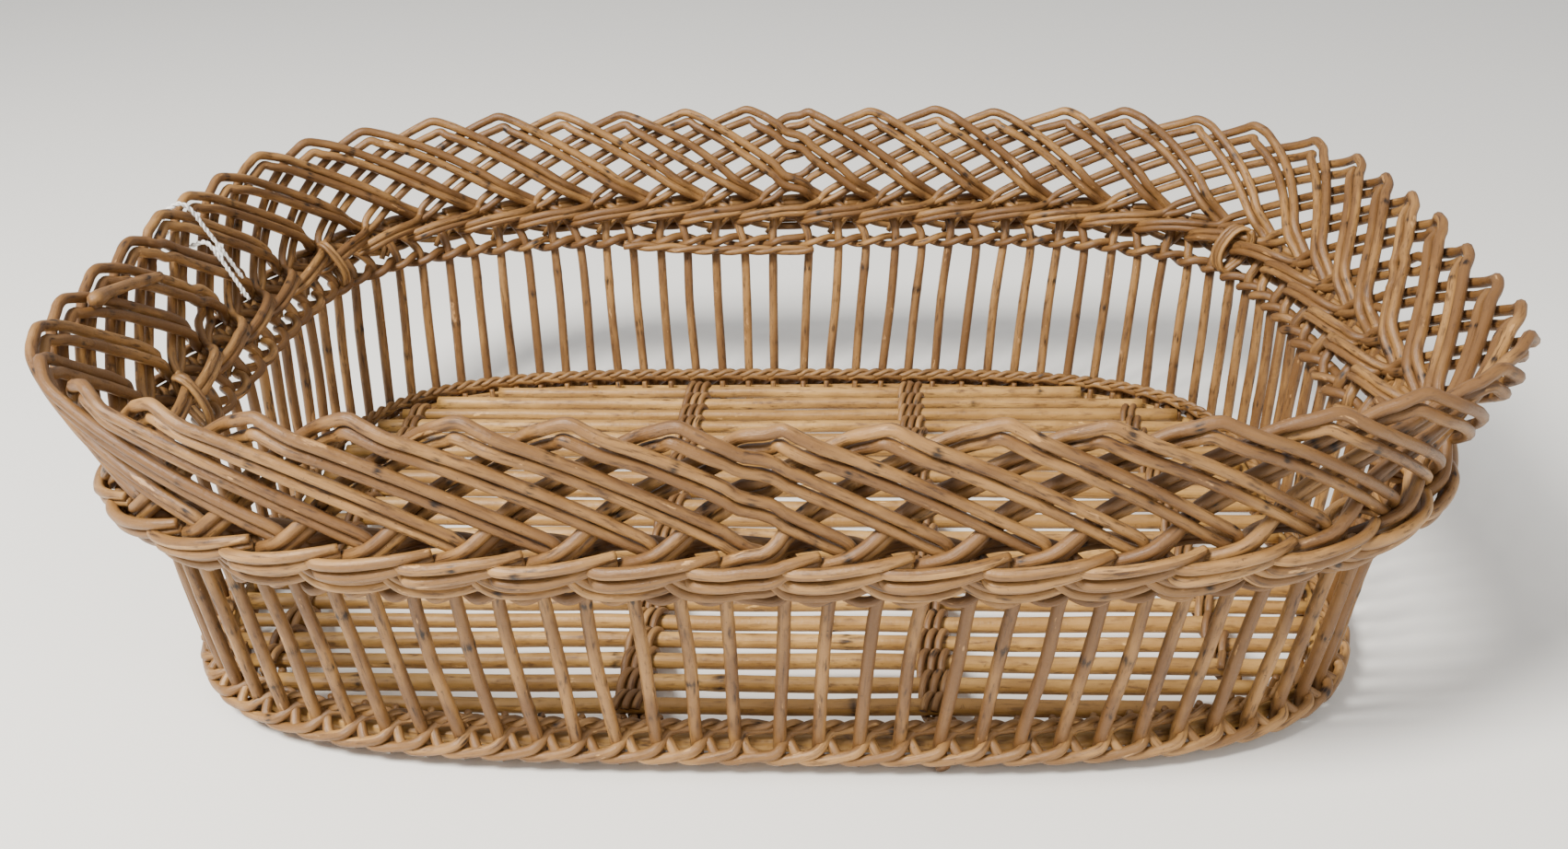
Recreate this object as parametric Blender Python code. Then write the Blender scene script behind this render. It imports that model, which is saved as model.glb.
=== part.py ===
"""Oblong openwork willow basket, with a foot, upright stakes, a plaited border and a lattice of arches.

Metres, +Z up. The basket rests on z = 0 with its long side along X, and the middle of its arch tops is
over the origin. Places on the wall are given as (pitches round the wall, height, offset outwards).
"""
import math

import bpy
import bmesh
from mathutils import Vector

NAME = "winnowing_basket"

# Driving dimensions ---------------------------------------------------------------------------------
# The wall's middle surface: height, half length, half width, squareness of the plan's corners.
WALL_LEVELS = (
    (0.0078, 0.2106, 0.1469, 3.95),
    (0.0825, 0.2145, 0.1642, 4.20),
    (0.0950, 0.2215, 0.1680, 4.00),
    (0.1379, 0.2460, 0.1762, 3.86),
)
RIM_HEIGHT = WALL_LEVELS[-1][0]
FOOT_SHIFT = 0.0040      # the hand-made foot sits this far towards -X of the rim
ARCHES = 49              # each arch is one pair of stakes
GAP = 0.0003             # left between pieces that touch

STAKE_RADIUS = 0.0024
STAKE_TIP = 0.72          # share of the radius left where a stake runs into its pair
PAIR_HALF_THICKNESS = 0.0022
PAIR_HALF_FLAT = 0.0021   # two rods side by side make a flat oval band
LAYER_OFFSET = 0.0027     # the lattice's rising and falling limbs lie this far off the middle surface
RISE_SPAN = 2.4           # pitches from the border to an arch's top
FALL_SPAN = 2.8           # pitches from an arch's top back down to the border
LIMB_POWER = 1.25         # over 1: steep at the border, level at the top
LIMB_FOOT = 0.0930
LIMB_END = 0.0970
STAKE_PLACES = (-3.0, -2.5)  # pitches from an arch's top to its two stakes
JOINT_SPREAD = 0.13       # pitches between the places where the two stakes run into their pair
JOINT_RISES = (0.0040, 0.0020)
LEAN_START = 0.0830
LEAN_MIDDLE = 0.0885
LEAN_SHARE = 0.6          # of the lean is done at LEAN_MIDDLE
TURN_OVER = 0.35          # pitches either side of the top in which an arch crosses to the outer layer

HOOP_RADIUS = 0.0032
HOOP_HEIGHT = 0.0054
FOOT_WALE_HEIGHT = 0.0100
INNER_FOOT_WALE_HEIGHT = 0.0136
SIDE_WALE_HEIGHT = 0.0790
WALE_RADIUS = 0.0018
WALE_HALF_FLAT = 0.0012
INNER_FOOT_HALF_FLAT = 0.0006
PLAIT_HEIGHT = 0.0925
PLAIT_RADIUS = 0.0035
PLAIT_HALF_FLAT = 0.0033

BASE_RODS = 21
BASE_ROD_SPACING = 0.0129
BASE_ROD_RADIUS = 0.0029
BASE_ROD_INSET = 0.0085   # the rods' ends stop this far inside the wall's middle surface
BAND_PLACES = (-0.178, -0.048, 0.056, 0.160)
CROSS_STICK_PLACES = BAND_PLACES[1:3]
BAND_RADIUS = 0.0028
BAND_RISE = 0.0007        # the twining lies a little high on the base rods
BAND_OVERHANG = 0.0012
CROSS_STICK_RADIUS = 0.0025
CROSS_STICK_PLAY = 0.0006

STRING_PLACE = 23.6       # the white string is looped over the crossing here
STRING_RADIUS = 0.0010
STRING_SPACING = 0.0032

RING_STEPS = 52
BARK = (0.36, 0.21, 0.09)
GOLDEN = (0.52, 0.32, 0.13)
BROWN = (0.30, 0.17, 0.07)
COTTON = (0.86, 0.85, 0.80)


# The wall's surface ---------------------------------------------------------------------------------
def wall_section(height):
    """Half length, half width and squareness of the wall's plan at a height."""
    low, high = WALL_LEVELS[0], WALL_LEVELS[-1]
    height = min(max(height, low[0]), high[0])
    for low, high in zip(WALL_LEVELS, WALL_LEVELS[1:]):
        if height <= high[0]:
            break
    share = (height - low[0]) / (high[0] - low[0])
    return tuple(a + (b - a) * share for a, b in zip(low[1:], high[1:]))


def plan_point(angle, height):
    half_length, half_width, squareness = wall_section(height)
    power = 2.0 / squareness
    x = half_length * math.copysign(abs(math.cos(angle)) ** power, math.cos(angle))
    y = half_width * math.copysign(abs(math.sin(angle)) ** power, math.sin(angle))
    foot_top = WALL_LEVELS[0][0]
    rise = min(max(height - foot_top, 0.0) / (RIM_HEIGHT - foot_top), 1.0)
    return Vector((x - FOOT_SHIFT * (1.0 - rise ** 1.5), y, height))


def surface_normal(angle, height):
    """Unit vector square to the flared wall, pointing out of the basket."""
    step = 0.0005
    along = plan_point(angle + step, height) - plan_point(angle - step, height)
    low = min(max(height, WALL_LEVELS[0][0]), RIM_HEIGHT - 4 * step)
    up = plan_point(angle, low + 4 * step) - plan_point(angle, low)
    return along.cross(up).normalized()


def equal_angles(steps):
    """Plan angles that share the wall's length equally, measured half way up the lattice."""
    fine = 4000
    middle = 0.5 * (PLAIT_HEIGHT + RIM_HEIGHT)
    points = [plan_point(2 * math.pi * i / fine, middle) for i in range(fine + 1)]
    lengths = [0.0]
    for a, b in zip(points, points[1:]):
        lengths.append(lengths[-1] + (b - a).length)
    angles = []
    i = 0
    for step in range(steps):
        goal = lengths[-1] * step / steps
        while lengths[i + 1] < goal:
            i += 1
        share = (goal - lengths[i]) / (lengths[i + 1] - lengths[i])
        angles.append(2 * math.pi * (i + share) / fine)
    return angles + [2 * math.pi]


STEPS_PER_PITCH = 20
PITCH_ANGLES = equal_angles(ARCHES * STEPS_PER_PITCH)


def wall_angle(pitches):
    place = (pitches % ARCHES) * STEPS_PER_PITCH
    i = int(place)
    low, high = PITCH_ANGLES[i], PITCH_ANGLES[i + 1]
    return low + (high - low) * (place - i)


def wall_point(pitches, height, offset=0.0):
    angle = wall_angle(pitches)
    return plan_point(angle, height) + surface_normal(angle, height) * offset


# Materials and solids -------------------------------------------------------------------------------
def material(name, colour, roughness):
    mat = bpy.data.materials.new(name)
    mat.use_nodes = True
    shader = mat.node_tree.nodes["Principled BSDF"]
    shader.inputs["Base Color"].default_value = (*colour, 1.0)
    shader.inputs["Roughness"].default_value = roughness
    shader.inputs["Metallic"].default_value = 0.0
    mat.diffuse_color = (*colour, 1.0)
    return mat


def curve_object(name, points, radius, sides=0, half_flat=0.0, tilts=None, closed=False, tip=1.0):
    """A rod along a list of points: round, or a flat oval where half_flat is given."""
    curve = bpy.data.curves.new(name, "CURVE")
    curve.dimensions = "3D"
    curve.twist_mode = "Z_UP" if half_flat else "MINIMUM"
    curve.bevel_depth = radius
    curve.bevel_resolution = sides
    curve.extrude = half_flat
    curve.use_fill_caps = not closed
    curve.render_resolution_u = 0
    spline = curve.splines.new("POLY")
    spline.points.add(len(points) - 1)
    spline.use_cyclic_u = closed
    for i, point in enumerate(points):
        spline.points[i].co = (*point, 1.0)
        spline.points[i].tilt = tilts[i] if tilts else 0.0
    spline.points[-1].radius = tip
    rod = bpy.data.objects.new(name, curve)
    PARTS.objects.link(rod)
    return rod


def as_mesh(rod):
    """The same rod as a closed mesh, which a Boolean can take."""
    depsgraph = bpy.context.evaluated_depsgraph_get()
    mesh = bpy.data.meshes.new_from_object(rod.evaluated_get(depsgraph))
    bm = bmesh.new()
    bm.from_mesh(mesh)
    bmesh.ops.remove_doubles(bm, verts=bm.verts, dist=1e-6)
    bmesh.ops.recalc_face_normals(bm, faces=bm.faces)
    bm.to_mesh(mesh)
    bm.free()
    solid = bpy.data.objects.new(rod.name, mesh)
    solid.matrix_world = rod.matrix_world
    PARTS.objects.link(solid)
    bpy.data.objects.remove(rod)
    return solid


def joined(name, rods):
    """One solid made of overlapping rods."""
    solids = [as_mesh(rod) for rod in rods]
    whole = solids[0]
    for other in solids[1:]:
        union = whole.modifiers.new(other.name, "BOOLEAN")
        union.operation = "UNION"
        union.solver = "EXACT"
        union.object = other
    bpy.context.view_layer.update()
    depsgraph = bpy.context.evaluated_depsgraph_get()
    mesh = bpy.data.meshes.new_from_object(whole.evaluated_get(depsgraph))
    for solid in solids:
        bpy.data.objects.remove(solid)
    result = bpy.data.objects.new(name, mesh)
    PARTS.objects.link(result)
    return result


def finished(solid, mat, root):
    solid.data.name = solid.name
    solid.data.materials.clear()
    solid.data.materials.append(mat)
    solid.parent = root
    return solid


# Sub-parts ------------------------------------------------------------------------------------------
def wall_ring(name, height, offset, radius, half_flat=0.0, sides=0):
    """A rod or band that runs right round the wall; its points are closest in the corners."""
    angles = [2 * math.pi * (i + 0.5) / RING_STEPS for i in range(RING_STEPS)]
    points = [plan_point(a, height) + surface_normal(a, height) * offset for a in angles]
    return curve_object(name, points, radius, sides, half_flat, closed=True)


def arch_height(from_top, span, foot):
    """Height of a limb that lies from_top pitches from its arch's top."""
    return RIM_HEIGHT - (RIM_HEIGHT - foot) * (abs(from_top) / span) ** LIMB_POWER


def arch_path(top):
    """Points of the band along both limbs of the arch whose top is at the given pitch."""
    rise = [-RISE_SPAN * share for share in (1.0, 0.72, 0.46)]
    turn = [-TURN_OVER, -0.4 * TURN_OVER, 0.4 * TURN_OVER, TURN_OVER]
    fall = [FALL_SPAN * share for share in (0.42, 0.7, 1.0)]
    places = []
    for from_top in rise + turn + fall:
        span, foot = (RISE_SPAN, LIMB_FOOT) if from_top < 0 else (FALL_SPAN, LIMB_END)
        over = min(max(from_top / TURN_OVER, -1.0), 1.0)
        places.append((top + from_top, arch_height(from_top, span, foot), LAYER_OFFSET * over))
    return places


def band_tilts(places, points):
    """Turns the band's flat side against the flared wall, where the curve would keep it upright."""
    tilts = []
    for i, (pitches, height, _) in enumerate(places):
        tangent = (points[min(i + 1, len(points) - 1)] - points[max(i - 1, 0)]).normalized()
        upright = (Vector((0, 0, 1)) - tangent * tangent.z).normalized()
        normal = surface_normal(wall_angle(pitches), height)
        wanted = normal.cross(tangent).normalized()
        if wanted.z < 0:
            wanted = -wanted
        tilts.append(math.atan2(upright.cross(wanted).dot(tangent), upright.dot(wanted)))
    return tilts


def stake_path(foot, joint, joint_height):
    """A stake stands upright from the floor, then leans along the wall into its pair."""
    lean = joint - foot
    return [
        wall_point(foot, 0.0),
        wall_point(foot, WALL_LEVELS[0][0]),
        wall_point(foot, LEAN_START),
        wall_point(foot + LEAN_SHARE * lean, LEAN_MIDDLE, -0.4 * LAYER_OFFSET),
        wall_point(joint, joint_height, -LAYER_OFFSET),
    ]


def stake_pair(number):
    """Two side stakes that meet above the wale and bend over together as one arch of the rim."""
    top = float(number)
    places = arch_path(top)
    points = [wall_point(*place) for place in places]
    band = curve_object("band", points, PAIR_HALF_THICKNESS, 0, PAIR_HALF_FLAT, band_tilts(places, points))
    start = top - RISE_SPAN
    first_path = stake_path(top + STAKE_PLACES[0], start, LIMB_FOOT + JOINT_RISES[0])
    second_path = stake_path(top + STAKE_PLACES[1], start + JOINT_SPREAD, LIMB_FOOT + JOINT_RISES[1])
    first = curve_object("first", first_path, STAKE_RADIUS, tip=STAKE_TIP)
    second = curve_object("second", second_path, STAKE_RADIUS, tip=STAKE_TIP)
    return joined(f"stake_pair_{number:02d}", [band, first, second])


def base_reach(y, inset):
    """Half length of the base at a distance y from its long middle line."""
    half_length, half_width, squareness = wall_section(0.0)
    share = min(abs(y) / (half_width - inset), 1.0)
    return (half_length - inset) * (1.0 - share ** squareness) ** (1.0 / squareness)


def base_grid():
    """The long base rods, held at their spacing by twined bands across them."""
    height = HOOP_HEIGHT + HOOP_RADIUS + GAP + BASE_ROD_RADIUS
    rods = []
    for i in range(BASE_RODS):
        y = (i - 0.5 * (BASE_RODS - 1)) * BASE_ROD_SPACING
        reach = base_reach(y, BASE_ROD_INSET)
        ends = [Vector((-reach - FOOT_SHIFT, y, height)), Vector((reach - FOOT_SHIFT, y, height))]
        rods.append(curve_object(f"rod_{i}", ends, BASE_ROD_RADIUS))
    side = 0.5 * (BASE_RODS - 1) * BASE_ROD_SPACING + BAND_OVERHANG
    for i, x in enumerate(BAND_PLACES):
        half = side if x in CROSS_STICK_PLACES else side - 2 * BASE_ROD_SPACING
        ends = [Vector((x, -half, height + BAND_RISE)), Vector((x, half, height + BAND_RISE))]
        rods.append(curve_object(f"band_{i}", ends, BAND_RADIUS))
    return joined("base_grid", rods)


def cross_stick(name, x):
    """A stick under the base rods, between the two long sides of the hoop."""
    height = HOOP_HEIGHT + HOOP_RADIUS - CROSS_STICK_RADIUS
    reach = wall_section(0.0)[1] - (STAKE_RADIUS + GAP + 2 * HOOP_RADIUS + 3 * GAP) - CROSS_STICK_PLAY
    ends = [Vector((x, -reach, height)), Vector((x, reach, height))]
    return curve_object(name, ends, CROSS_STICK_RADIUS, 1)


def string_route():
    """The string's middle line: up inside, over two crossed limbs, back in below them and down."""
    inside, outside = -0.0066, 0.0066
    route = (
        (-0.10, -0.0319, inside), (-0.10, -0.0200, inside), (-0.08, -0.0100, inside),
        (-0.06, -0.0030, -0.0068), (-0.03, 0.0016, -0.0045), (0.00, 0.0024, 0.0),
        (0.00, 0.0016, 0.0045), (0.00, -0.0030, 0.0068), (0.00, -0.0090, outside),
        (0.01, -0.0122, 0.0054), (0.02, -0.0131, 0.0), (0.05, -0.0146, -0.0054),
        (0.08, -0.0210, inside), (0.10, -0.0310, inside), (0.12, -0.0390, inside),
    )
    return [wall_point(STRING_PLACE + along, RIM_HEIGHT + up, offset) for along, up, offset in route]


def smooth_points(points, spacing):
    """Points every so often along a Catmull-Rom curve through the given ones."""
    padded = [2 * points[0] - points[1], *points, 2 * points[-1] - points[-2]]
    smooth = []
    for p0, p1, p2, p3 in zip(padded, padded[1:], padded[2:], padded[3:]):
        steps = max(1, round((p2 - p1).length / spacing))
        for step in range(steps):
            t = step / steps
            bend = (2 * p0 - 5 * p1 + 4 * p2 - p3) * t * t + (3 * p1 - p0 - 3 * p2 + p3) * t ** 3
            smooth.append(0.5 * (2 * p1 + (p2 - p0) * t + bend))
    return smooth + [points[-1]]


def string_tie():
    return curve_object("string_tie", smooth_points(string_route(), STRING_SPACING), STRING_RADIUS, 1)


# Build ----------------------------------------------------------------------------------------------
def build():
    stake_mat = material("stake_bark", BARK, 0.62)
    border_mat = material("border_willow", GOLDEN, 0.55)
    base_mat = material("base_willow", GOLDEN, 0.50)
    wale_mat = material("wale_willow", BROWN, 0.60)
    string_mat = material("cotton_string", COTTON, 0.90)
    root = bpy.data.objects.new(NAME, None)
    PARTS.objects.link(root)

    for number in range(1, ARCHES + 1):
        finished(stake_pair(number), stake_mat, root)
    beside = STAKE_RADIUS + GAP
    hoop = wall_ring("base_hoop", HOOP_HEIGHT, -(beside + GAP + HOOP_RADIUS), HOOP_RADIUS, sides=1)
    wale_offset = beside + GAP + WALE_RADIUS
    outer_foot = wall_ring("foot_wale_outer", FOOT_WALE_HEIGHT, wale_offset, WALE_RADIUS, WALE_HALF_FLAT)
    inner_height, inner_flat = INNER_FOOT_WALE_HEIGHT, INNER_FOOT_HALF_FLAT
    inner_foot = wall_ring("foot_wale_inner", inner_height, -wale_offset, WALE_RADIUS, inner_flat)
    side = wall_ring("side_wale_inner", SIDE_WALE_HEIGHT, -wale_offset, WALE_RADIUS, WALE_HALF_FLAT)
    plait_offset = LAYER_OFFSET + PAIR_HALF_THICKNESS + 3 * GAP + PLAIT_RADIUS
    plait = wall_ring("border_plait", PLAIT_HEIGHT, plait_offset, PLAIT_RADIUS, PLAIT_HALF_FLAT)
    finished(hoop, base_mat, root)
    finished(outer_foot, wale_mat, root)
    finished(inner_foot, wale_mat, root)
    finished(side, wale_mat, root)
    finished(plait, border_mat, root)
    finished(base_grid(), base_mat, root)
    for place, x in zip(("left", "right"), CROSS_STICK_PLACES):
        finished(cross_stick(f"cross_stick_{place}", x), wale_mat, root)
    finished(string_tie(), string_mat, root)


for old in list(bpy.data.objects):
    bpy.data.objects.remove(old)
PARTS = bpy.data.collections.new(NAME)
bpy.context.scene.collection.children.link(PARTS)
build()
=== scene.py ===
"""The looks of the openwork willow basket: every rod, strand and wrap by itself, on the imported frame.

Metres, in the CAD's frame. A place on the wall is (pitches round it, height, offset outwards). One pitch
holds one arch and two side stakes, and pitches grow anticlockwise seen from above.
"""
import math
import random

import bpy
import numpy as np
from mathutils import Matrix


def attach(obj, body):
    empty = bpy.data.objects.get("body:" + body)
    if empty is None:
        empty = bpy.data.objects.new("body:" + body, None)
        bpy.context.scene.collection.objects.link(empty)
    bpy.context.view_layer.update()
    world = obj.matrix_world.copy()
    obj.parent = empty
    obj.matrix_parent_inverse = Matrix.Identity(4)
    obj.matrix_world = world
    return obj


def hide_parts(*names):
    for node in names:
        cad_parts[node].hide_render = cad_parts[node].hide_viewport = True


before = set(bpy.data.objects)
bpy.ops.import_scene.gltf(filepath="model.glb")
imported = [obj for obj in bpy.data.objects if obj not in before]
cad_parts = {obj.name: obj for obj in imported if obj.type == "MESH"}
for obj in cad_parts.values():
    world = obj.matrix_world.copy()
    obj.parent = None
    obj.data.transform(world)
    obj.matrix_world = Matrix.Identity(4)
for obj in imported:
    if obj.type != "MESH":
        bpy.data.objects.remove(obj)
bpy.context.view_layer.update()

# The wall's middle surface: height, half length, half width, squareness of the plan's corners.
WALL_LEVELS = np.array((
    (0.0078, 0.2106, 0.1469, 3.95),
    (0.0825, 0.2145, 0.1642, 4.20),
    (0.0950, 0.2215, 0.1680, 4.00),
    (0.1379, 0.2460, 0.1762, 3.86),
))
FOOT_TOP = WALL_LEVELS[0][0]
RIM_HEIGHT = WALL_LEVELS[-1][0]
FOOT_SHIFT = 0.0040
ARCHES = 49
STAKES_PER_ARCH = 2
RISE_SPAN = 2.4           # pitches from the border to an arch's top
FALL_SPAN = 2.8           # pitches from the top back down to the border
LIMB_POWER = 1.14
LIMB_FOOT = 0.0930        # heights where the rising limb starts and the falling limb ends
LIMB_END = 0.0970
MIDDLE_HEIGHT = 0.1152   # half way from the plait to the rim, where the pitches are measured
LAYER_OFFSET = 0.0027
TURN_OVER = 0.35          # pitches either side of the top in which an arch crosses to the outer layer
PITCH_LENGTH = 0.0275     # metres along the wall in one pitch
FOOT_PITCHES = (-0.60, -0.10)  # from the foot of an arch's rising limb to its two stakes
STAKE_RADIUS = 0.0022
ARCH_RADIUS = 0.0021
PAIR_HALF_GAP = 0.0021    # half the distance between an arch's two rods
BASE_RODS = 21
BASE_ROD_SPACING = 0.0129
BASE_ROD_RADIUS = 0.0029
BASE_HEIGHT = 0.0118
HOOP_HEIGHT = 0.0060
HOOP_OFFSET = -0.0050
HOOP_RADIUS = 0.0031
BAND_PLACES = (-0.178, -0.048, 0.056, 0.160)
CROSS_STICK_HEIGHT = 0.0062
SIDE_WALE_HEIGHT = 0.0790
BORDER_HEIGHT = 0.0925
STRING_PLACE = 23.6
STRING_DIAMETER = 0.0020
SPLIT_ARCH = 15           # the arch whose two rods have come apart
WALE_ANCHOR = 0.4         # pitches by which the side wale's twist leads the arches
SPARE_WALE = (11.9, 15.2)  # pitches between which a spare length lies under the side wale
TWINE_RADIUS = 0.00145
TWINE_REACH = 0.0042      # how far the twining rises and falls over the base rods' middles
TWINE_SPACING = 0.0036    # between neighbouring rows


# The wall's surface ---------------------------------------------------------------------------------
def wall_section(height):
    height = np.clip(height, FOOT_TOP, RIM_HEIGHT)
    return [np.interp(height, WALL_LEVELS[:, 0], WALL_LEVELS[:, i]) for i in (1, 2, 3)]


def plan_point(angle, height):
    """Points of the wall's middle surface, for arrays of plan angles and heights."""
    half_length, half_width, squareness = wall_section(height)
    cosine, sine = np.cos(angle), np.sin(angle)
    x = half_length * np.sign(cosine) * np.abs(cosine) ** (2 / squareness)
    y = half_width * np.sign(sine) * np.abs(sine) ** (2 / squareness)
    rise = np.clip((height - FOOT_TOP) / (RIM_HEIGHT - FOOT_TOP), 0.0, 1.0)
    return np.stack([x - FOOT_SHIFT * (1.0 - rise ** 1.5), y, height + 0 * x], axis=-1)


def unit(vectors):
    return vectors / np.linalg.norm(vectors, axis=-1, keepdims=True)


def surface_normal(angle, height):
    step = 0.0005
    along = plan_point(angle + step, height) - plan_point(angle - step, height)
    low = np.clip(height, FOOT_TOP, RIM_HEIGHT - 4 * step)
    up = plan_point(angle, low + 4 * step) - plan_point(angle, low)
    return unit(np.cross(along, up))


FINE_ANGLES = np.linspace(0.0, 2 * math.pi, 4001)
MIDDLE_PLAN = plan_point(FINE_ANGLES, np.full_like(FINE_ANGLES, MIDDLE_HEIGHT))
FINE_STEPS = np.linalg.norm(np.diff(MIDDLE_PLAN, axis=0), axis=1)
FINE_LENGTHS = np.concatenate([[0.0], np.cumsum(FINE_STEPS)])


def wall_point(places):
    """World points for rows of (pitches, height, offset)."""
    places = np.asarray(places, dtype=float)
    share = (places[:, 0] / ARCHES) % 1.0
    angle = np.interp(share * FINE_LENGTHS[-1], FINE_LENGTHS, FINE_ANGLES)
    return plan_point(angle, places[:, 1]) + surface_normal(angle, places[:, 1]) * places[:, 2:3]


# Rods -----------------------------------------------------------------------------------------------
def smooth_rows(rows, steps):
    """Catmull-Rom curve through rows of any numbers, with so many steps from each row to the next."""
    rows = np.asarray(rows, dtype=float)
    padded = np.vstack([2 * rows[0] - rows[1], rows, 2 * rows[-1] - rows[-2]])
    t = (np.arange(steps) / steps)[:, None]
    parts = []
    for p0, p1, p2, p3 in zip(padded, padded[1:], padded[2:], padded[3:]):
        bend = (2 * p0 - 5 * p1 + 4 * p2 - p3) * t ** 2 + (3 * p1 - p0 - 3 * p2 + p3) * t ** 3
        parts.append(0.5 * (2 * p1 + (p2 - p0) * t + bend))
    return np.vstack(parts + [rows[-1:]])


class Bundle:
    """Rods gathered into one mesh, with each rod's length, girth and own tone kept for its material."""

    def __init__(self):
        self.verts, self.faces, self.uvs, self.tones, self.marks = [], [], [], [], []
        self.count = 0

    def rod(self, points, radii, rng, sides=10, tone=None, knots=0.05, wobble=0.00012):
        """A willow rod along points. Knots swell it, and wobble bends it a little."""
        points = np.array(points, dtype=float)
        steps = np.linalg.norm(np.diff(points, axis=0), axis=1)
        keep = np.concatenate([[True], steps > 1e-6])
        points = points[keep]
        radii = np.broadcast_to(radii, keep.shape)[keep].copy()
        count = len(points)
        along = np.concatenate([[0.0], np.cumsum(np.linalg.norm(np.diff(points, axis=0), axis=1))])
        marks = np.zeros(count)
        place = rng.uniform(0.0, knots * 1.5) if knots else along[-1] + 1
        while place < along[-1]:
            near = np.exp(-((along - place) / 0.0022) ** 2)
            radii *= 1 + rng.uniform(0.02, 0.10) * near
            marks += near
            place += rng.uniform(0.5, 1.6) * knots
        phase = [rng.uniform(0, 2 * math.pi) for _ in range(3)]
        calm = np.sin(np.pi * np.clip(along / along[-1], 0, 1)) ** 0.5
        for axis in range(3):
            points[:, axis] += wobble * calm * np.sin(along / 0.016 + phase[axis])
        radii *= 1 + 0.012 * np.sin(along / 0.0060 + phase[0])
        tangents = unit(np.gradient(points, axis=0))
        side = np.cross(tangents[0], (0.0, 0.0, 1.0))
        if np.linalg.norm(side) < 0.2:
            side = np.cross(tangents[0], (0.0, 1.0, 0.0))
        side = unit(side)
        turns = np.linspace(0, 2 * math.pi, sides, endpoint=False) + rng.uniform(0, 1)
        tone = rng.random() if tone is None else tone
        start = self.count
        for i in range(count):
            side = unit(side - tangents[i] * np.dot(side, tangents[i]))
            other = np.cross(tangents[i], side)
            ring = np.outer(np.cos(turns), side) + np.outer(np.sin(turns), other)
            self.verts.append(points[i] + ring * radii[i])
        self.tones.append(np.full(count * sides, tone))
        self.marks.append(np.repeat(marks, sides))
        rings = np.arange(count - 1)[:, None] * sides + start
        a = np.arange(sides)
        b = (a + 1) % sides
        quads = np.stack([rings + a, rings + b, rings + sides + b, rings + sides + a], axis=-1)
        self.faces.extend(quads.reshape(-1, 4).tolist())
        low = np.repeat(along[:-1], sides)
        high = np.repeat(along[1:], sides)
        left = np.tile(a / sides, count - 1)
        right = left + 1 / sides
        corners = [(low, left), (low, right), (high, right), (high, left)]
        self.uvs.append(np.stack([np.stack(c, -1) for c in corners], axis=1).reshape(-1, 2))
        last = start + (count - 1) * sides
        self.faces.append((start + a[::-1]).tolist())
        self.faces.append((last + a).tolist())
        cap = np.stack([0.3 * np.cos(turns), 0.5 + 0.3 * np.sin(turns)], -1) * 0.01
        self.uvs.extend([cap, cap])
        self.count += count * sides

    def finish(self, name, mat):
        mesh = bpy.data.meshes.new(name)
        mesh.from_pydata(np.vstack(self.verts).tolist(), [], self.faces)
        uv = mesh.uv_layers.new(name="rod_uv")
        uv.data.foreach_set("uv", np.vstack(self.uvs).ravel())
        tone = mesh.attributes.new("rod_tone", "FLOAT", "POINT")
        tone.data.foreach_set("value", np.concatenate(self.tones))
        mark = mesh.attributes.new("knot_mark", "FLOAT", "POINT")
        mark.data.foreach_set("value", np.concatenate(self.marks))
        mesh.shade_smooth()
        mesh.materials.append(mat)
        piece = bpy.data.objects.new(name, mesh)
        bpy.context.scene.collection.objects.link(piece)
        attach(piece, "root")
        return piece


# Materials ------------------------------------------------------------------------------------------
def node(tree, kind, **values):
    made = tree.nodes.new(kind)
    for name, value in values.items():
        if hasattr(made, name):
            setattr(made, name, value)
        else:
            made.inputs[name].default_value = value
    return made


def mixed(tree, factor, low, high):
    """Colour between two others. Each input is a number, a colour or a socket."""
    mix = tree.nodes.new("ShaderNodeMix")
    mix.data_type = "RGBA"
    for socket, value in ((mix.inputs[0], factor), (mix.inputs[6], low), (mix.inputs[7], high)):
        if isinstance(value, (int, float)):
            socket.default_value = value
        elif isinstance(value, tuple):
            socket.default_value = (*value, 1.0)
        else:
            tree.links.new(value, socket)
    return mix.outputs[2]


def streaks(tree, along, around, detail, seed):
    """Noise drawn out along each rod, different on every rod."""
    uv = node(tree, "ShaderNodeUVMap", uv_map="rod_uv")
    tone = node(tree, "ShaderNodeAttribute", attribute_name="rod_tone")
    shift = node(tree, "ShaderNodeMath", operation="MULTIPLY_ADD")
    shift.inputs[1].default_value = 37.0
    shift.inputs[2].default_value = seed
    tree.links.new(tone.outputs["Fac"], shift.inputs[0])
    join = node(tree, "ShaderNodeCombineXYZ")
    split = node(tree, "ShaderNodeSeparateXYZ")
    tree.links.new(uv.outputs[0], split.inputs[0])
    for axis, scale in enumerate((along, around)):
        times = node(tree, "ShaderNodeMath", operation="MULTIPLY")
        times.inputs[1].default_value = scale
        tree.links.new(split.outputs[axis], times.inputs[0])
        tree.links.new(times.outputs[0], join.inputs[axis])
    tree.links.new(shift.outputs[0], join.inputs[2])
    noise = node(tree, "ShaderNodeTexNoise")
    noise.inputs["Scale"].default_value = 1.0
    noise.inputs["Detail"].default_value = detail
    noise.inputs["Roughness"].default_value = 0.6
    tree.links.new(join.outputs[0], noise.inputs["Vector"])
    return noise.outputs["Fac"]


def ranged(tree, value, low, high):
    """0 below low and 1 above high, with a soft step between."""
    change = node(tree, "ShaderNodeMapRange")
    change.interpolation_type = "SMOOTHSTEP"
    change.inputs["From Min"].default_value = low
    change.inputs["From Max"].default_value = high
    tree.links.new(value, change.inputs["Value"])
    return change.outputs[0]


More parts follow.
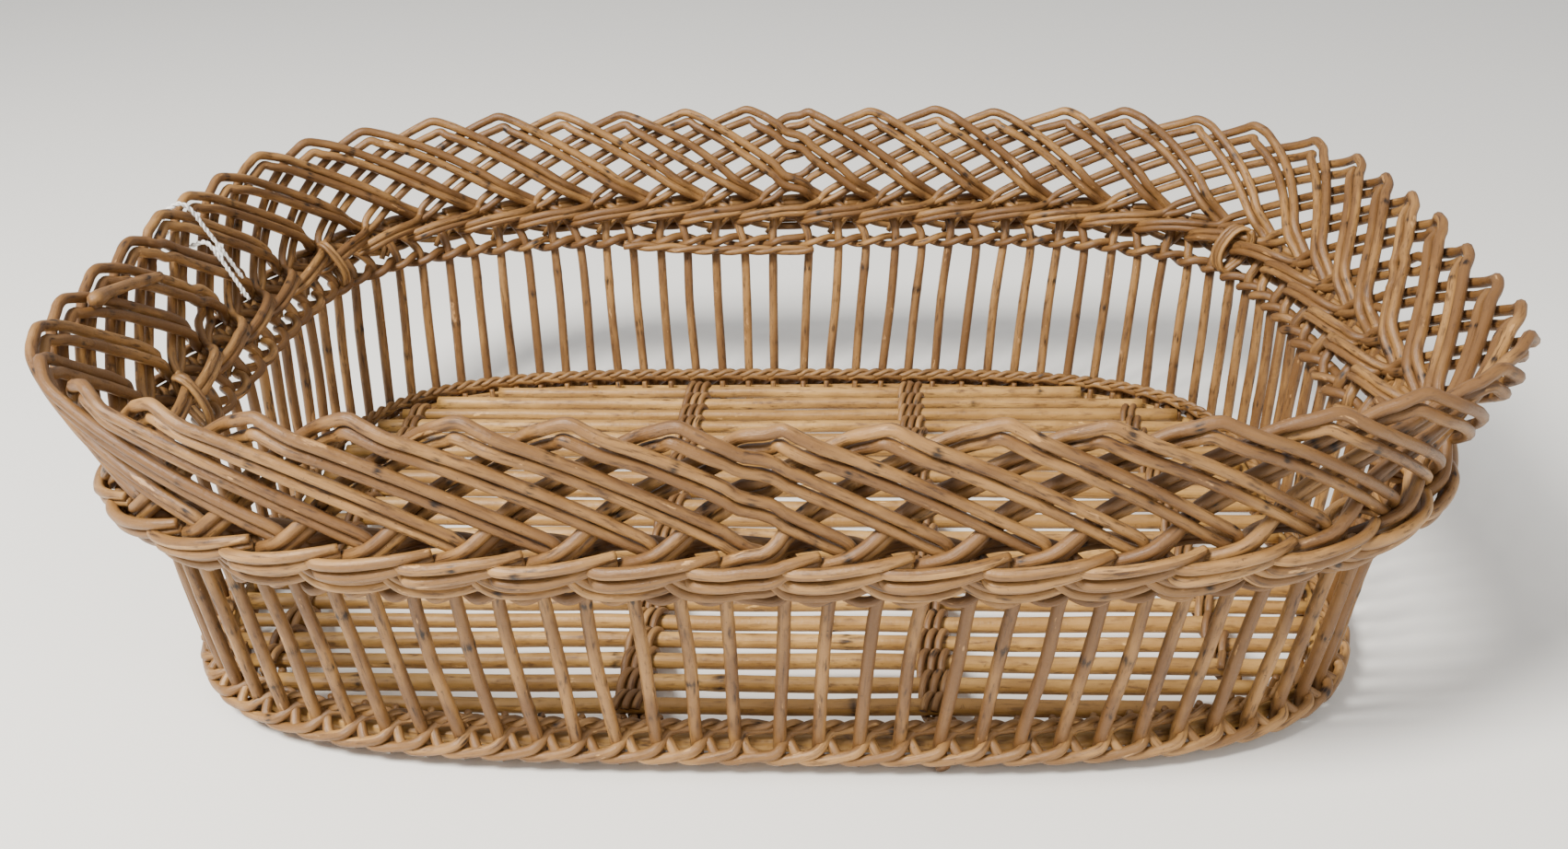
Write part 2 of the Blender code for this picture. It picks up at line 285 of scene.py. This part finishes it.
def willow(name, light, middle, dark, roughness=0.5, speckle=0.6):
    """Aged willow: streaks along each rod, its own tone, dark specks, knots and rubbed high spots."""
    mat = bpy.data.materials.new(name)
    mat.use_nodes = True
    tree = mat.node_tree
    shader = tree.nodes["Principled BSDF"]
    tone = node(tree, "ShaderNodeAttribute", attribute_name="rod_tone").outputs["Fac"]
    knot = node(tree, "ShaderNodeAttribute", attribute_name="knot_mark").outputs["Fac"]
    broad = streaks(tree, 26.0, 1.2, 3.0, 1.0)
    fine = streaks(tree, 130.0, 9.0, 5.0, 7.0)
    fibre = streaks(tree, 60.0, 34.0, 4.0, 13.0)
    specks = streaks(tree, 620.0, 7.0, 2.0, 23.0)
    peel = streaks(tree, 75.0, 3.2, 4.0, 31.0)
    colour = mixed(tree, ranged(tree, broad, 0.34, 0.60), light, middle)
    colour = mixed(tree, ranged(tree, fine, 0.50, 0.74), colour, dark)
    rod_dark = node(tree, "ShaderNodeMath", operation="MULTIPLY")
    rod_dark.inputs[1].default_value = 0.75
    tree.links.new(ranged(tree, tone, 0.35, 1.0), rod_dark.inputs[0])
    colour = mixed(tree, rod_dark.outputs[0], colour, middle)
    colour = mixed(tree, ranged(tree, fibre, 0.58, 0.78), colour, dark)
    bare = tuple(min(1.0, 1.22 * c + 0.02) for c in light)
    colour = mixed(tree, ranged(tree, peel, 0.66, 0.71), colour, bare)
    spot = node(tree, "ShaderNodeMath", operation="MULTIPLY")
    spot.inputs[1].default_value = speckle
    tree.links.new(ranged(tree, specks, 0.68, 0.76), spot.inputs[0])
    umber = tuple(0.30 * c for c in dark)
    colour = mixed(tree, spot.outputs[0], colour, umber)
    ring = node(tree, "ShaderNodeMath", operation="MULTIPLY")
    tree.links.new(ranged(tree, knot, 0.35, 1.0), ring.inputs[0])
    tree.links.new(ranged(tree, fine, 0.40, 0.60), ring.inputs[1])
    colour = mixed(tree, ring.outputs[0], colour, umber)
    tree.links.new(colour, shader.inputs["Base Color"])
    rough = node(tree, "ShaderNodeMapRange")
    rough.inputs["To Min"].default_value = roughness - 0.10
    rough.inputs["To Max"].default_value = roughness + 0.16
    tree.links.new(fine, rough.inputs["Value"])
    tree.links.new(rough.outputs[0], shader.inputs["Roughness"])
    shader.inputs["Specular IOR Level"].default_value = 0.42
    high = node(tree, "ShaderNodeMath", operation="ADD")
    tree.links.new(fibre, high.inputs[0])
    tree.links.new(specks, high.inputs[1])
    bump = node(tree, "ShaderNodeBump")
    bump.inputs["Strength"].default_value = 0.55
    bump.inputs["Distance"].default_value = 0.00035
    tree.links.new(high.outputs[0], bump.inputs["Height"])
    tree.links.new(bump.outputs[0], shader.inputs["Normal"])
    return mat


def cotton():
    """Twisted cotton: slanted plies round the string, and a little fluff in the roughness."""
    mat = bpy.data.materials.new("cotton_string")
    mat.use_nodes = True
    tree = mat.node_tree
    shader = tree.nodes["Principled BSDF"]
    fuzz = streaks(tree, 900.0, 4.0, 4.0, 5.0)
    colour = mixed(tree, ranged(tree, fuzz, 0.35, 0.7), (0.88, 0.87, 0.83), (0.66, 0.64, 0.59))
    tree.links.new(colour, shader.inputs["Base Color"])
    shader.inputs["Roughness"].default_value = 0.9
    shader.inputs["Sheen Weight"].default_value = 0.3
    bump = node(tree, "ShaderNodeBump")
    bump.inputs["Strength"].default_value = 0.5
    bump.inputs["Distance"].default_value = 0.0003
    tree.links.new(fuzz, bump.inputs["Height"])
    tree.links.new(bump.outputs[0], shader.inputs["Normal"])
    return mat


# Stakes and arches ----------------------------------------------------------------------------------
def limb_height(from_top, span, foot, rim):
    """Height of a limb that lies from_top pitches from its arch's top."""
    return rim - (rim - foot) * (abs(from_top) / span) ** LIMB_POWER


def stake_rows(foot, rng):
    """One stake from its tail under the hoop up to the border: pitches, height, offset and radius."""
    lean = rng.uniform(-0.05, 0.05)
    tail = rng.uniform(-0.04, 0.04)
    bow = rng.uniform(-0.0006, 0.0006)
    return [
        (foot + tail, 0.0118, HOOP_OFFSET - 0.0047, 0.0012),
        (foot + tail, 0.0070, HOOP_OFFSET - 0.0048, 0.0015),
        (foot + tail, 0.0024, HOOP_OFFSET - 0.0028, 0.0016),
        (foot + 0.5 * tail, 0.0017, HOOP_OFFSET + 0.0005, 0.0017),
        (foot, 0.0028, HOOP_OFFSET + 0.0046, 0.0019),
        (foot, 0.0072, HOOP_OFFSET + 0.0057, 0.0021),
        (foot, 0.0120, bow, STAKE_RADIUS),
        (foot + 0.3 * lean, 0.0250, bow, STAKE_RADIUS),
        (foot + lean, 0.0500, 1.6 * bow, STAKE_RADIUS),
        (foot + 0.5 * lean, 0.0740, 0.0, STAKE_RADIUS * 0.97),
    ]


def rise_rows(base, partner):
    """From the wale into the pair, in front of a falling limb's end, to the foot of the rising limb."""
    border = BORDER_HEIGHT
    if partner == 0:
        rows = [
            (base - 0.53, border - 0.0090, 0.0004), (base - 0.40, border - 0.0036, 0.0012),
            (base - 0.22, border + 0.0012, 0.0042),
        ]
    else:
        rows = [
            (base - 0.09, border - 0.0090, 0.0006), (base - 0.07, border - 0.0042, 0.0010),
            (base, border - 0.0002, 0.0044),
        ]
    gap = 0.0016 if partner == 0 else -0.0018
    rows += [
        (base + 0.12, border + 0.0046 + gap, 0.0064),
        (base + 0.36, border + 0.0086 + gap, 0.0036),
        (base + 0.60, border + 0.0130 + 1.2 * gap, -0.0016),
    ]
    return [(*row, ARCH_RADIUS) for row in rows]


def limb_rows(top, partner, rng, shape):
    """The rising limb on the inside, the rounded top and the falling limb on the outside, as one curve."""
    rim = RIM_HEIGHT + shape["lift"]
    side = 1.0 if partner == 0 else -1.0
    rows = []
    rise = [-1.5, -1.2, -0.85, -0.55, -0.34, -0.17]
    fall = [0.0, 0.17, 0.36, 0.62, 0.95, 1.35, 1.8, 2.25, 2.62, 2.84]
    for from_top in rise + fall:
        span, foot = (RISE_SPAN, LIMB_FOOT) if from_top < 0 else (FALL_SPAN, LIMB_END)
        height = limb_height(from_top, span, foot, rim)
        step = 0.02
        ahead = limb_height(min(abs(from_top) + step, span), span, foot, rim)
        slope = (height - ahead) / step * (1.0 if from_top < 0 else -1.0)
        length = math.hypot(PITCH_LENGTH, slope)
        near_top = math.exp(-(from_top / 0.5) ** 2)
        half = PAIR_HALF_GAP + (shape["open"] if partner == 1 else 0.0) * near_top
        half += shape["split"] * math.exp(-((from_top - shape["split_at"]) / 0.6) ** 2)
        across = side * half
        over = np.clip(from_top / TURN_OVER, -1.0, 1.0)
        bulge = shape["bulge"] * (1 - near_top) * (1 if from_top > 0 else -0.6)
        offset = LAYER_OFFSET * over + bulge
        share = (from_top + 1.6) / 4.5
        radius = ARCH_RADIUS * (1.0 - 0.17 * share)
        rows.append((
            top + from_top + shape["turn"] * near_top - across * slope / length / PITCH_LENGTH,
            height + across * PITCH_LENGTH / length,
            offset,
            radius,
        ))
    return rows


def border_rows(end, partner):
    """The arch's tail: in between the stakes, along the inside of the border and down out of it."""
    gap = 0.0013 if partner == 0 else -0.0013
    thin = 0.0018 if partner == 0 else 0.0016
    return [
        (end + 0.10, BORDER_HEIGHT + 0.0020 + gap, 0.0004, thin),
        (end + 0.30, BORDER_HEIGHT + 0.0009 + gap, -0.0040, thin),
        (end + 0.60, BORDER_HEIGHT - 0.0001 + gap, -0.0066, thin),
        (end + 0.95, BORDER_HEIGHT - 0.0016 + gap, -0.0070, thin),
        (end + 1.22, BORDER_HEIGHT - 0.0031 + gap, -0.0045, thin),
        (end + 1.40, BORDER_HEIGHT - 0.0039 + 0.6 * gap, 0.0010, thin),
    ]


def arch_shape(number, rng):
    """How one arch differs from the others: hand work is never quite even."""
    shape = {
        "lift": rng.uniform(-0.0013, 0.0013),
        "open": rng.uniform(0.0000, 0.0014),
        "split": rng.uniform(0.0, 0.0004),
        "split_at": rng.uniform(-1.0, 2.0),
        "bulge": rng.uniform(-0.0003, 0.0004),
        "turn": rng.uniform(-0.06, 0.06),
    }
    if number == SPLIT_ARCH:
        shape.update(split=0.0020, split_at=-0.9)
    return shape


def stake_pair(number, mat):
    """Both rods of one arch, each in one run from its tail under the hoop to its tuck in the border."""
    rng = random.Random(1000 + number)
    shape = arch_shape(number, rng)
    bundle = Bundle()
    base = number - RISE_SPAN
    for partner in (0, 1):
        foot = base + FOOT_PITCHES[partner]
        rows = stake_rows(foot, rng) + rise_rows(base, partner)
        rows += limb_rows(number, partner, rng, shape) + border_rows(number + FALL_SPAN, partner)
        curve = smooth_rows(rows, 5)
        bundle.rod(wall_point(curve[:, :3]), curve[:, 3], rng, sides=9)
    piece = bundle.finish(f"arch_rods_{number:02d}", mat)
    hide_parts(f"stake_pair_{number:02d}")


# Border plait ---------------------------------------------------------------------------------------
def plait(mat):
    """Outside the stakes: prominent upper strokes, a lower row behind them, and cut ends below."""
    bundle = Bundle()
    mid = BORDER_HEIGHT
    for number in range(ARCHES):
        rng = random.Random(2000 + number)
        tip = number + 0.10 + rng.uniform(-0.04, 0.04)
        lift = rng.uniform(-0.0005, 0.0005)
        for partner in (0, 1):
            gap = (0.5 - partner) * 0.0037
            radius = 0.00190 + rng.uniform(-0.0001, 0.0001)
            upper = [
                (tip + 0.14, mid - 0.0006 + 0.3 * gap, 0.0050, radius * 0.9),
                (tip + 0.00, mid + 0.0006 + 0.6 * gap, 0.0068, radius),
                (tip - 0.02 + 0.05 * partner, mid + 0.0013 + gap, 0.0090, radius),
                (tip + 0.12, mid + 0.0016 + gap, 0.0106, radius),
                (tip + 0.42, mid + 0.0024 + gap + lift, 0.0112, radius),
                (tip + 0.78, mid + 0.0038 + gap + lift, 0.0106, radius * 0.98),
                (tip + 1.05, mid + 0.0046 + 0.8 * gap, 0.0086, radius * 0.92),
                (tip + 1.28, mid + 0.0044 + 0.6 * gap, 0.0052, radius * 0.85),
            ]
            lower = [
                (tip - 0.42, mid + 0.0022 + gap, 0.0030, radius * 0.9),
                (tip - 0.26, mid - 0.0006 + gap, 0.0060, radius * 0.95),
                (tip - 0.06, mid - 0.0038 + gap, 0.0080, radius * 0.95),
                (tip + 0.18, mid - 0.0052 + 0.9 * gap, 0.0084, radius * 0.95),
                (tip + 0.50, mid - 0.0052 + 0.9 * gap, 0.0078, radius * 0.9),
                (tip + 0.80, mid - 0.0036 + 0.9 * gap, 0.0062, radius * 0.86),
                (tip + 1.02, mid - 0.0008 + 0.8 * gap, 0.0036, radius * 0.82),
            ]
            drop = rng.uniform(0.0, 0.0012)
            stub = [
                (tip + 0.22 + 0.10 * partner, mid - 0.0018, 0.0030, 0.00150),
                (tip + 0.34 + 0.10 * partner, mid - 0.0056, 0.0050, 0.00145),
                (tip + 0.46 + 0.10 * partner, mid - 0.0092 - drop, 0.0062, 0.00135),
            ]
            for rows, knots in ((upper, 0.09), (lower, 0.09), (stub, 0)):
                curve = smooth_rows(rows, 6)
                bundle.rod(wall_point(curve[:, :3]), curve[:, 3], rng, knots=knots, wobble=0.0001)
    piece = bundle.finish("border_plait_strokes", mat)
    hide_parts("border_plait")


# Wales ----------------------------------------------------------------------------------------------
def side_wale(mat):
    """Two strands that swap inside and outside between stakes, and a spare tail under them."""
    bundle = Bundle()
    for strand in (0, 1):
        rng = random.Random(3000 + strand)
        turns = np.arange(0, ARCHES + 0.001, 1 / 24)
        phase = 2 * math.pi * (turns - WALE_ANCHOR) + math.pi * strand
        offset = 0.0043 * np.cos(phase) - 0.0004
        height = SIDE_WALE_HEIGHT + 0.0018 * np.sin(phase) + 0.0004 * np.sin(0.9 * turns + strand)
        rows = np.stack([turns, height, offset], axis=1)
        radii = 0.0018 + 0.0002 * np.sin(0.37 * turns + 2 * strand)
        bundle.rod(wall_point(rows), radii, rng, knots=0.11, wobble=0.0)
    rng = random.Random(3010)
    for strand in (0, 1):
        turns = np.arange(*SPARE_WALE, 1 / 20)
        phase = 2 * math.pi * turns + math.pi * strand
        sag = 0.0030 * np.clip((SPARE_WALE[1] - turns) / 1.6, 0, 1) + 0.0012
        height = SIDE_WALE_HEIGHT - sag + 0.0010 * np.sin(phase)
        rows = np.stack([turns, height, -0.0062 + 0.0010 * np.cos(phase)], axis=1)
        bundle.rod(wall_point(rows), 0.0015, rng, knots=0.05, wobble=0.0)
    piece = bundle.finish("side_wale_strands", mat)
    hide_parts("side_wale_inner")


def foot_wale(mat):
    """Three strands round the foot. Each passes in front of two stakes, rising, then behind one."""
    bundle = Bundle()
    for strand in (0, 1, 2):
        rng = random.Random(3100 + strand)
        stakes = np.arange(0, STAKES_PER_ARCH * ARCHES, 1 / 12)
        cycle = (stakes - 0.8 - strand) % 3.0
        swing = np.sin(2 * math.pi * (cycle + 0.02) / 3.0 + 0.62)
        front = 0.5 + 0.5 * np.tanh(3.2 * (swing + 0.34))
        offset = -0.0040 + 0.0083 * front
        rise = np.where(cycle < 2.1, cycle / 2.1, (3.0 - cycle) / 0.9)
        height = 0.0074 + 0.0062 * (0.5 - 0.5 * np.cos(math.pi * rise))
        rows = np.stack([stakes / STAKES_PER_ARCH, height, offset], axis=1)
        bundle.rod(wall_point(rows), 0.0018, rng, knots=0.10, wobble=0.0)
    piece = bundle.finish("foot_wale_strands", mat)
    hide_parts("foot_wale_outer")
    inner = Bundle()
    for strand in (0, 1):
        rng = random.Random(3200 + strand)
        turns = np.arange(0, ARCHES, 1 / 20)
        phase = 4 * math.pi * turns + math.pi * strand
        height = 0.0148 + 0.0011 * np.sin(phase)
        rows = np.stack([turns, height, -0.0040 + 0.0010 * np.cos(phase)], axis=1)
        inner.rod(wall_point(rows), 0.00115, rng, knots=0.12, wobble=0.0, sides=8)
    piece = inner.finish("foot_twist_strands", mat)
    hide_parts("foot_wale_inner")


# Foot and base --------------------------------------------------------------------------------------
def base_hoop(mat):
    """The thick rod that the stakes' tails are wrapped round."""
    rng = random.Random(3300)
    turns = np.arange(0, ARCHES, 1 / 6)
    height = HOOP_HEIGHT + 0.0004 * np.sin(turns * 0.8)
    rows = np.stack([turns, height, np.full_like(turns, HOOP_OFFSET)], axis=1)
    bundle = Bundle()
    bundle.rod(wall_point(rows), HOOP_RADIUS, rng, sides=14, knots=0.12, wobble=0.0)
    piece = bundle.finish("base_hoop_rod", mat)
    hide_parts("base_hoop")


def base_reach(y, inset):
    half_length, half_width, squareness = (float(v) for v in wall_section(0.0))
    share = min(abs(y) / (half_width - inset), 1.0)
    return (half_length - inset) * (1.0 - share ** squareness) ** (1.0 / squareness)


def base_rod_y(i):
    return (i - 0.5 * (BASE_RODS - 1)) * BASE_ROD_SPACING


def base_rods(mat):
    """Golden rods along the base, each a little bowed, thick end and thin end by turns."""
    bundle = Bundle()
    for i in range(BASE_RODS):
        rng = random.Random(4000 + i)
        y = base_rod_y(i)
        reach = base_reach(y, 0.0080)
        bow, sway = rng.uniform(-0.0009, 0.0009), rng.uniform(-0.0006, 0.0006)
        taper = 0.10 * (-1) ** i
        x = np.linspace(-1, 1, 60)
        points = np.stack([
            x * reach - FOOT_SHIFT,
            y + bow * np.cos(2.2 * x) + sway * np.sin(5 * x),
            BASE_HEIGHT + 0.0003 * np.sin(4 * x + i),
        ], axis=1)
        bundle.rod(points, BASE_ROD_RADIUS * (1 + taper * x), rng, sides=12, knots=0.10, wobble=0.0002)
    return bundle.finish("base_rods", mat)


def twining(mat):
    """Thin rods over and under the base rods by turns, above each cross-stick and near the ends."""
    bundle = Bundle()
    for place, x in enumerate(BAND_PLACES):
        middle = place in (1, 2)
        last = BASE_RODS - 1 if middle else BASE_RODS - 3
        first = 0 if middle else 2
        for row in range(3 if middle else 2):
            for strand in (0, 1):
                rng = random.Random(5000 + 20 * place + 2 * row + strand)
                steps = np.arange(first - 0.35, last + 0.36, 1 / 12)
                phase = math.pi * (steps + strand + row)
                y = (steps - 0.5 * (BASE_RODS - 1)) * BASE_ROD_SPACING
                height = BASE_HEIGHT + TWINE_REACH * np.cos(phase)
                across = x + TWINE_SPACING * (row - 1) + 0.0016 * np.sin(phase)
                across += 0.0003 * np.sin(steps * 1.7)
                points = np.stack([across, y, height], axis=1)
                bundle.rod(points, TWINE_RADIUS, rng, knots=0.07, wobble=0.0, sides=8)
    return bundle.finish("base_twining", mat)


def base(rod_mat, twine_mat):
    pieces = [base_rods(rod_mat), twining(twine_mat)]
    for piece in pieces:
        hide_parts("base_grid")


def cross_stick(place, x, mat):
    """A stick under the base rods. The right-hand one's butt pokes out under the front of the foot."""
    rng = random.Random(6000 + (place == "right"))
    reach = float(wall_section(0.0)[1]) - 0.0095
    y = np.linspace(reach, -reach, 30)
    points = np.stack([x + 0.0008 * np.sin(y * 40), y, np.full(30, CROSS_STICK_HEIGHT - 0.0003)], axis=1)
    if place == "right":
        butt = np.array([(x, -reach - 0.006, 0.0044), (x + 0.001, -reach - 0.012, 0.0026)])
        points = smooth_rows(np.vstack([points[:-2], butt]), 3)
    bundle = Bundle()
    bundle.rod(points, 0.0024, rng, sides=12, knots=0.08)
    piece = bundle.finish(f"cross_stick_{place}_rod", mat)
    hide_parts(f"cross_stick_{place}")


# Small details --------------------------------------------------------------------------------------
def wrapped_ties(mat):
    """Thin rods wound round the inner border where a length of wale ends, in three corners."""
    bundle = Bundle()
    ties = ((3.9, 3, 0.0013), (20.9, 2, 0.0011), (26.2, 2, 0.0011))
    for place, turns, radius in ties:
        rng = random.Random(7000 + int(place))
        angle = np.linspace(0, 2 * math.pi * turns, 18 * turns)
        rows = np.stack([
            place + 0.10 * angle / (2 * math.pi) - 0.08 * np.sin(angle),
            BORDER_HEIGHT - 0.0030 + 0.0088 * np.cos(angle),
            -0.0052 + 0.0046 * np.sin(angle),
        ], axis=1)
        bundle.rod(wall_point(rows), radius, rng, knots=0, wobble=0.0)
    piece = bundle.finish("border_ties", mat)


def broken_rod(mat):
    """The snapped end of a rod that stands out of the lattice at the left, with the knot at its break."""
    rng = random.Random(7100)
    rows = smooth_rows([
        (25.2, 0.1250, -0.0058, 0.0021), (25.9, 0.1290, -0.0066, 0.0022),
        (26.5, 0.1320, -0.0070, 0.0024), (26.8, 0.1328, -0.0070, 0.0030),
        (26.9, 0.1330, -0.0070, 0.0014),
    ], 8)
    bundle = Bundle()
    bundle.rod(wall_point(rows[:, :3]), rows[:, 3], rng, knots=0.02)
    piece = bundle.finish("broken_rod_end", mat)


def string_route():
    """The same route as the CAD's string: over two crossed limbs, with both ends hanging inside."""
    inside, outside = -0.0066, 0.0066
    route = (
        (-0.10, -0.0319, inside), (-0.10, -0.0200, inside), (-0.08, -0.0100, inside),
        (-0.06, -0.0030, -0.0068), (-0.03, 0.0016, -0.0045), (0.00, 0.0024, 0.0),
        (0.00, 0.0016, 0.0045), (0.00, -0.0030, 0.0068), (0.00, -0.0090, outside),
        (0.01, -0.0122, 0.0054), (0.02, -0.0131, 0.0), (0.05, -0.0146, -0.0054),
        (0.08, -0.0210, inside), (0.10, -0.0310, inside), (0.12, -0.0390, inside),
    )
    places = [(STRING_PLACE + along, RIM_HEIGHT + up, offset) for along, up, offset in route]
    return smooth_rows(wall_point(places), 8)


def string_tie(mat):
    """A limp cotton string in two plies."""
    path = string_route()
    along = np.concatenate([[0.0], np.cumsum(np.linalg.norm(np.diff(path, axis=0), axis=1))])
    tangents = unit(np.gradient(path, axis=0))
    side = unit(np.cross(tangents, (0.3, 0.2, 0.93)))
    other = np.cross(tangents, side)
    bundle = Bundle()
    ply = 0.26 * STRING_DIAMETER
    for strand in (0, 1):
        phase = (2 * math.pi * along / 0.005 + math.pi * strand)[:, None]
        points = path + ply * (side * np.cos(phase) + other * np.sin(phase))
        rng = random.Random(8000 + strand)
        bundle.rod(points, ply, rng, sides=8, knots=0, wobble=0.0, tone=0.2 * strand)
    piece = bundle.finish("white_string", mat)
    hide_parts("string_tie")


# Stage ----------------------------------------------------------------------------------------------
def floor():
    bpy.ops.mesh.primitive_plane_add(size=8.0, location=(0.0, 1.0, 0.0))
    plane = bpy.context.object
    plane.name = "studio_floor"
    mat = bpy.data.materials.new("floor_paint")
    mat.use_nodes = True
    tree = mat.node_tree
    shader = tree.nodes["Principled BSDF"]
    noise = node(tree, "ShaderNodeTexNoise")
    noise.inputs["Scale"].default_value = 2.0
    colour = mixed(tree, noise.outputs["Fac"], (0.86, 0.845, 0.79), (0.90, 0.885, 0.83))
    tree.links.new(colour, shader.inputs["Base Color"])
    shader.inputs["Roughness"].default_value = 0.7
    plane.data.materials.append(mat)


def area_light(name, place, aim, size, energy, colour):
    data = bpy.data.lights.new(name, "AREA")
    data.shape = "DISK"
    data.size = size
    data.energy = energy
    data.color = colour
    lamp = bpy.data.objects.new(name, data)
    bpy.context.scene.collection.objects.link(lamp)
    lamp.location = place
    direction = np.array(aim) - np.array(place)
    look = unit(direction)
    yaw = math.atan2(look[0], look[1])
    lamp.rotation_euler = (math.acos(-look[2]), 0.0, -yaw)


def lights():
    area_light("window", (-0.75, -0.75, 1.35), (0, 0, 0.05), 0.55, 66.0, (1.0, 0.97, 0.93))
    area_light("front_fill", (1.1, -1.2, 0.9), (0, 0, 0.05), 1.0, 9.0, (1.0, 0.96, 0.90))
    world = bpy.data.worlds.new("studio")
    world.use_nodes = True
    background = world.node_tree.nodes["Background"]
    background.inputs["Color"].default_value = (0.95, 0.96, 1.0, 1.0)
    background.inputs["Strength"].default_value = 0.66
    bpy.context.scene.world = world


CAMERA_PLACE = (0.0255, -0.5514, 0.3203)
CAMERA_YAW = 0.0464
CAMERA_PITCH = 0.4463
CAMERA_ROLL = -0.0196
FOCAL_SHARE = 1646.9 / 1702.0  # focal length over the picture's width


def camera():
    """At the photograph's height, distance, tilt and lens."""
    data = bpy.data.cameras.new("photo_view")
    data.sensor_width = 36.0
    data.lens = 36.0 * FOCAL_SHARE
    data.clip_start = 0.01
    eye = bpy.data.objects.new("photo_view", data)
    bpy.context.scene.collection.objects.link(eye)
    eye.location = CAMERA_PLACE
    forward = np.array([-math.sin(CAMERA_YAW), math.cos(CAMERA_YAW), 0.0])
    right = np.array([math.cos(CAMERA_YAW), math.sin(CAMERA_YAW), 0.0])
    up = forward * math.sin(CAMERA_PITCH) + np.array([0, 0, 1.0]) * math.cos(CAMERA_PITCH)
    back = np.cross(right, up)
    cosine, sine = math.cos(CAMERA_ROLL), math.sin(CAMERA_ROLL)
    right, up = right * cosine + up * sine, up * cosine - right * sine
    eye.rotation_euler = Matrix(np.stack([right, up, back], axis=1).tolist()).to_euler()
    bpy.context.scene.camera = eye


camera()
stake_mat = willow(
    "stake_willow", (0.32, 0.165, 0.050), (0.150, 0.069, 0.020), (0.038, 0.016, 0.005), 0.44)
border_mat = willow(
    "border_willow", (0.39, 0.210, 0.069), (0.190, 0.092, 0.027), (0.048, 0.021, 0.007), 0.40)
base_mat = willow(
    "base_willow", (0.50, 0.280, 0.078), (0.31, 0.160, 0.041), (0.11, 0.050, 0.014), 0.42, 0.35)
wale_mat = willow(
    "wale_willow", (0.31, 0.160, 0.050), (0.145, 0.067, 0.020), (0.038, 0.016, 0.006), 0.46)
string_tie(cotton())
for arch in range(1, ARCHES + 1):
    stake_pair(arch, stake_mat)
plait(border_mat)
side_wale(wale_mat)
foot_wale(border_mat)
base_hoop(base_mat)
base(base_mat, wale_mat)
cross_stick("left", BAND_PLACES[1], wale_mat)
cross_stick("right", BAND_PLACES[2], wale_mat)
wrapped_ties(border_mat)
broken_rod(stake_mat)
floor()
lights()
